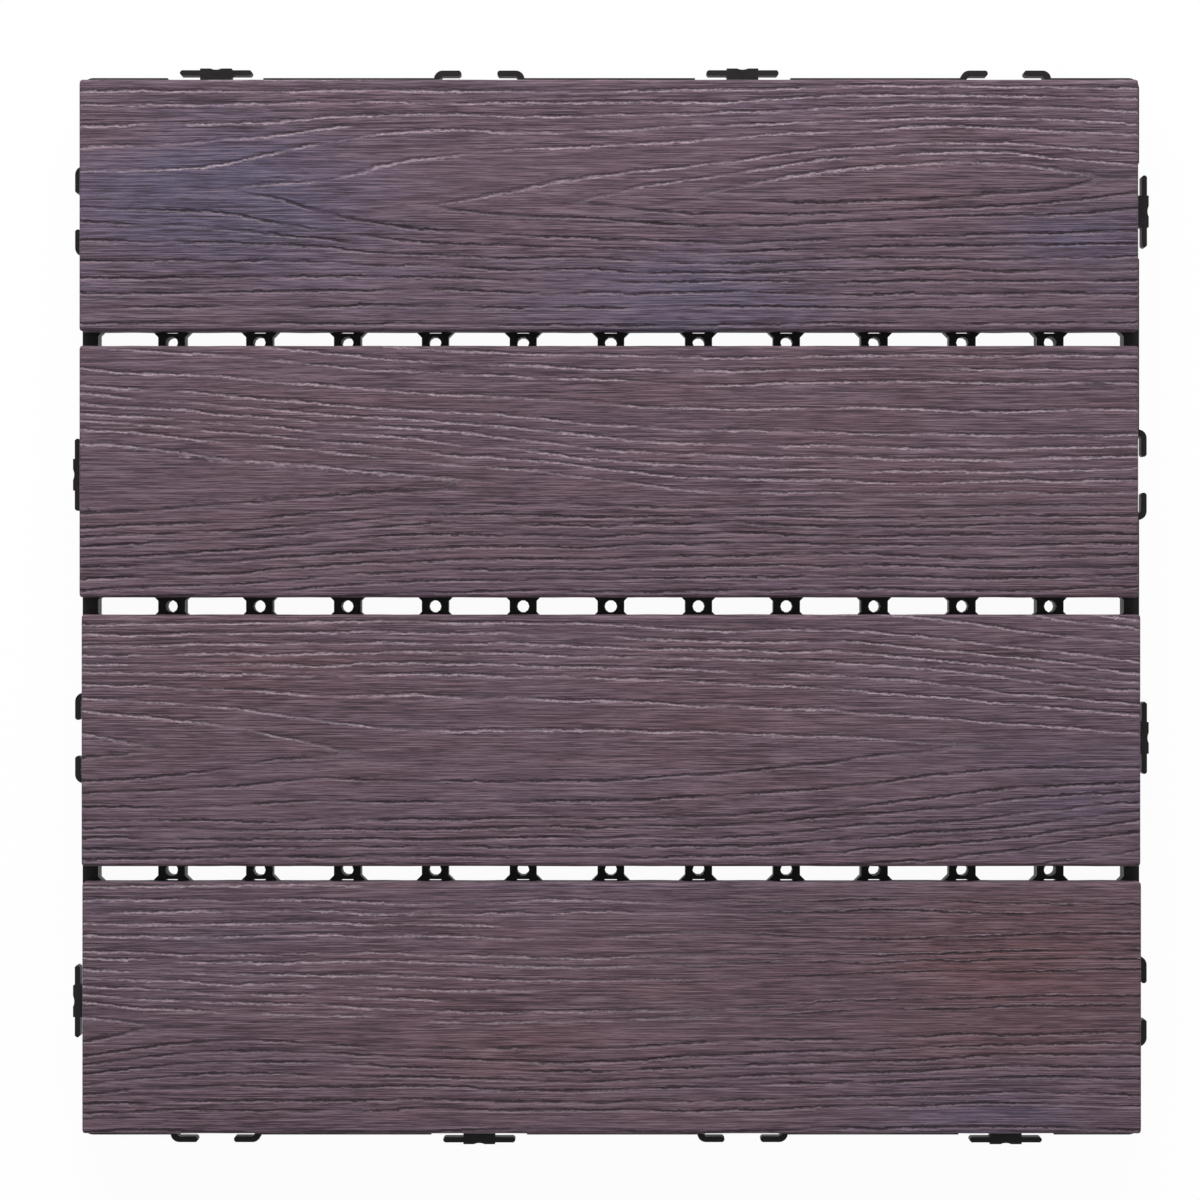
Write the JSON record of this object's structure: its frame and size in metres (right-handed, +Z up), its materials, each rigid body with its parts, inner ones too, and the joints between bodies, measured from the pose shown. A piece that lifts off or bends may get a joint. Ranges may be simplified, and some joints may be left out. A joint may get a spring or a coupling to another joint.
{
  "type": "interlocking deck tile",
  "caption": "Square deck tile: grained wood-plastic boards with open joints on a black moulded lattice base with tabs and hooks around its rim.",
  "frame": {"origin": "on the ground under the middle of the tile", "axes": "+X along the boards, +Y across them, +Z up"},
  "size_m": [0.3064, 0.3064, 0.022],
  "materials": {
    "base_plastic": "satin black moulded polypropylene",
    "board_composite": "matt grey-brown wood-plastic composite with embossed grain",
    "screw_steel": "zinc-plated steel"
  },
  "bodies": {
    "root": {"base": "base_plastic", "board_1": "board_composite", "board_2": "board_composite", "board_3": "board_composite", "board_4": "board_composite", "screws": "screw_steel"}
  },
  "joints": []
}
